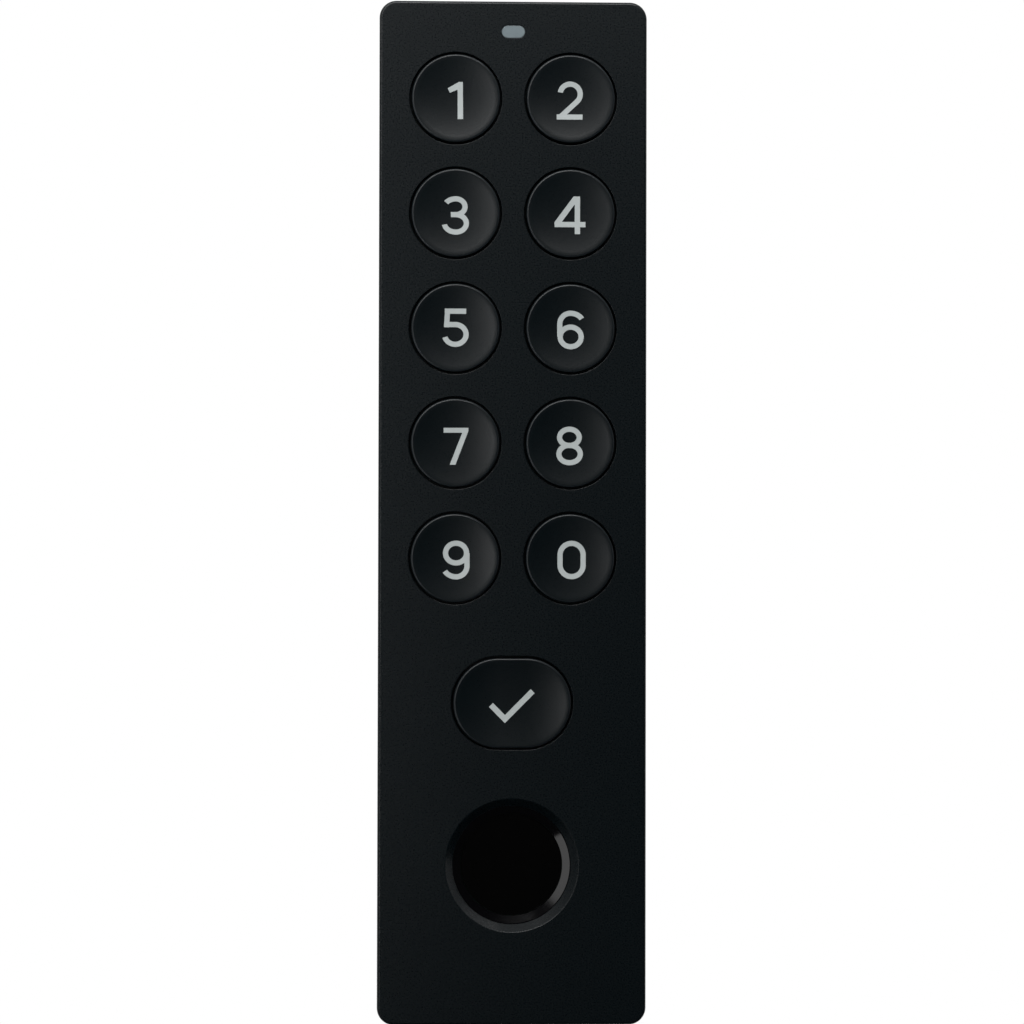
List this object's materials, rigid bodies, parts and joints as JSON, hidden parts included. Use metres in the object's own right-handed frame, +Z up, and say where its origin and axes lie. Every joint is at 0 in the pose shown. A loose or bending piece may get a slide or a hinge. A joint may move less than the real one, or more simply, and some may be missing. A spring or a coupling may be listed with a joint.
{
  "type": "keypad access reader",
  "caption": "Slim battery-powered wall keypad with round digit keys, a wide enter key, a status light and a recessed round fingerprint sensor, locked to a wall plate from below.",
  "frame": {"origin": "middle of the wall plate's back face, on the wall, between the two wall screw holes", "axes": "+X right as seen from the front, +Y into the wall, +Z up; the keys face -Y"},
  "size_m": [0.036, 0.0224, 0.1374],
  "materials": {
    "housing_plastic": "fine moulded texture",
    "key_plastic": "satin, with light grey legends",
    "gloss_trim": "polished",
    "sensor_glass": "polished black",
    "light_lens": "translucent smoke grey",
    "key_silicone": "matt translucent",
    "seal_rubber": "matt",
    "circuit_board": "solder mask",
    "plate_steel": "zinc plated",
    "screw_steel": "zinc plated",
    "lock_steel": "stainless",
    "flex_film": "polyimide film",
    "switch_metal": "stamped",
    "lamp_body": "moulded lens",
    "shield_can": "tinned",
    "chip_black": "moulded epoxy",
    "chip_part": "ceramic",
    "socket_plastic": "moulded",
    "tray_plastic": "fine moulded texture",
    "cell_can": "printed sleeve",
    "contact_nickel": "nickel plated",
    "insert_brass": "machined"
  },
  "bodies": {
    "wall_plate": {"wall_plate": "tray_plastic", "lock_insert": "insert_brass"},
    "housing": {"front_cover": "housing_plastic", "status_light_lens": "light_lens", "sensor_bezel": "gloss_trim", "sensor_gasket": "seal_rubber", "sensor_pad": "sensor_glass", "sensor_module": "circuit_board", "sensor_retainer": "plate_steel", "sensor_retainer_screws": "screw_steel", "sensor_flex": "flex_film", "key_mat": "key_silicone", "main_board": "circuit_board", "board_screws": "screw_steel", "key_switches": "switch_metal", "key_lamps": "lamp_body", "status_lamp": "lamp_body", "radio_module": "shield_can", "buzzer": "chip_black", "controller_chips": "chip_black", "board_parts": "chip_part", "flex_socket": "socket_plastic", "battery_tray": "tray_plastic", "housing_seal": "seal_rubber", "housing_screws": "screw_steel", "battery_1": "cell_can", "battery_2": "cell_can", "battery_3": "cell_can", "battery_4": "cell_can", "contact_positive": "contact_nickel", "contact_negative": "contact_nickel", "contact_middle_left": "contact_nickel", "contact_middle_right": "contact_nickel", "contact_bridge": "contact_nickel", "battery_springs": "contact_nickel"},
    "lock_screw": {"lock_screw": "lock_steel", "lock_screw_clip": "screw_steel"},
    "key_1": {"key_1": "key_plastic"},
    "key_2": {"key_2": "key_plastic"},
    "key_3": {"key_3": "key_plastic"},
    "key_4": {"key_4": "key_plastic"},
    "key_5": {"key_5": "key_plastic"},
    "key_6": {"key_6": "key_plastic"},
    "key_7": {"key_7": "key_plastic"},
    "key_8": {"key_8": "key_plastic"},
    "key_9": {"key_9": "key_plastic"},
    "key_0": {"key_0": "key_plastic"},
    "key_enter": {"key_enter": "key_plastic"}
  },
  "joints": [
    {"name": "housing_slide", "type": "slide", "parent": "wall_plate", "child": "housing", "axis": [0, 0, -1], "range_m": [0, 0.0035]},
    {"name": "lock_screw_turn", "type": "hinge", "parent": "housing", "child": "lock_screw", "pos_m": [0, -0.0062, -0.0657], "axis": [0, 0, -1], "range_deg": [0, 2520]},
    {"name": "key_1_press", "type": "slide", "parent": "housing", "child": "key_1", "axis": [0, 1, 0], "range_m": [0, 0.0005], "stiffness_N_per_m": 900, "springref_m": -0.0004, "deforming": ["key_mat"]},
    {"name": "key_2_press", "type": "slide", "parent": "housing", "child": "key_2", "axis": [0, 1, 0], "range_m": [0, 0.0005], "stiffness_N_per_m": 900, "springref_m": -0.0004, "deforming": ["key_mat"]},
    {"name": "key_3_press", "type": "slide", "parent": "housing", "child": "key_3", "axis": [0, 1, 0], "range_m": [0, 0.0005], "stiffness_N_per_m": 900, "springref_m": -0.0004, "deforming": ["key_mat"]},
    {"name": "key_4_press", "type": "slide", "parent": "housing", "child": "key_4", "axis": [0, 1, 0], "range_m": [0, 0.0005], "stiffness_N_per_m": 900, "springref_m": -0.0004, "deforming": ["key_mat"]},
    {"name": "key_5_press", "type": "slide", "parent": "housing", "child": "key_5", "axis": [0, 1, 0], "range_m": [0, 0.0005], "stiffness_N_per_m": 900, "springref_m": -0.0004, "deforming": ["key_mat"]},
    {"name": "key_6_press", "type": "slide", "parent": "housing", "child": "key_6", "axis": [0, 1, 0], "range_m": [0, 0.0005], "stiffness_N_per_m": 900, "springref_m": -0.0004, "deforming": ["key_mat"]},
    {"name": "key_7_press", "type": "slide", "parent": "housing", "child": "key_7", "axis": [0, 1, 0], "range_m": [0, 0.0005], "stiffness_N_per_m": 900, "springref_m": -0.0004, "deforming": ["key_mat"]},
    {"name": "key_8_press", "type": "slide", "parent": "housing", "child": "key_8", "axis": [0, 1, 0], "range_m": [0, 0.0005], "stiffness_N_per_m": 900, "springref_m": -0.0004, "deforming": ["key_mat"]},
    {"name": "key_9_press", "type": "slide", "parent": "housing", "child": "key_9", "axis": [0, 1, 0], "range_m": [0, 0.0005], "stiffness_N_per_m": 900, "springref_m": -0.0004, "deforming": ["key_mat"]},
    {"name": "key_0_press", "type": "slide", "parent": "housing", "child": "key_0", "axis": [0, 1, 0], "range_m": [0, 0.0005], "stiffness_N_per_m": 900, "springref_m": -0.0004, "deforming": ["key_mat"]},
    {"name": "key_enter_press", "type": "slide", "parent": "housing", "child": "key_enter", "axis": [0, 1, 0], "range_m": [0, 0.0005], "stiffness_N_per_m": 900, "springref_m": -0.0004, "deforming": ["key_mat"]}
  ],
  "couplings": [
    {"joint": "lock_screw_turn", "follows": "housing_slide", "rad_per_m": 12566}
  ]
}
